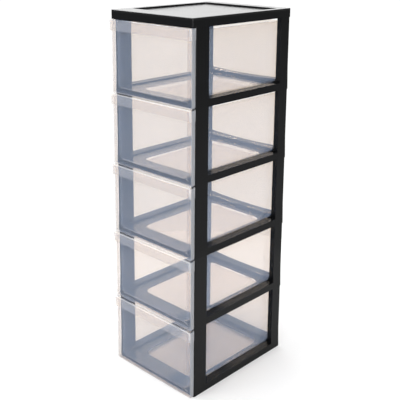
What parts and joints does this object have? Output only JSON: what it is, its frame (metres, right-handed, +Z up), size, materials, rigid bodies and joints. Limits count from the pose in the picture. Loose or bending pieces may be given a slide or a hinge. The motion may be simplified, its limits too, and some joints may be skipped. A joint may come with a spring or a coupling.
{
  "type": "plastic drawer tower",
  "caption": "Free-standing storage tower of stacked open frames, each with a see-through drawer that slides out by its full-width handle lip, under a flat top cover.",
  "frame": {"origin": "on the floor, under the middle of the whole tower with its drawers shut", "axes": "+Z up along the height, -Y towards the front where the drawers pull out, +X to the right seen from behind the origin looking along +Y"},
  "size_m": [0.29, 0.3766, 0.981],
  "materials": {
    "black_frame": "gloss",
    "drawer_plastic": "satin"
  },
  "bodies": {
    "frame": {"top_cover": "black_frame", "frame_1": "black_frame", "frame_2": "black_frame", "frame_3": "black_frame", "frame_4": "black_frame", "frame_5": "black_frame"},
    "drawer_1": {"drawer_1": "drawer_plastic"},
    "drawer_2": {"drawer_2": "drawer_plastic"},
    "drawer_3": {"drawer_3": "drawer_plastic"},
    "drawer_4": {"drawer_4": "drawer_plastic"},
    "drawer_5": {"drawer_5": "drawer_plastic"}
  },
  "joints": [
    {"name": "drawer_1_slide", "type": "slide", "parent": "frame", "child": "drawer_1", "axis": [0, -1, 0], "range_m": [0, 0.267]},
    {"name": "drawer_2_slide", "type": "slide", "parent": "frame", "child": "drawer_2", "axis": [0, -1, 0], "range_m": [0, 0.267]},
    {"name": "drawer_3_slide", "type": "slide", "parent": "frame", "child": "drawer_3", "axis": [0, -1, 0], "range_m": [0, 0.267]},
    {"name": "drawer_4_slide", "type": "slide", "parent": "frame", "child": "drawer_4", "axis": [0, -1, 0], "range_m": [0, 0.267]},
    {"name": "drawer_5_slide", "type": "slide", "parent": "frame", "child": "drawer_5", "axis": [0, -1, 0], "range_m": [0, 0.267]}
  ]
}
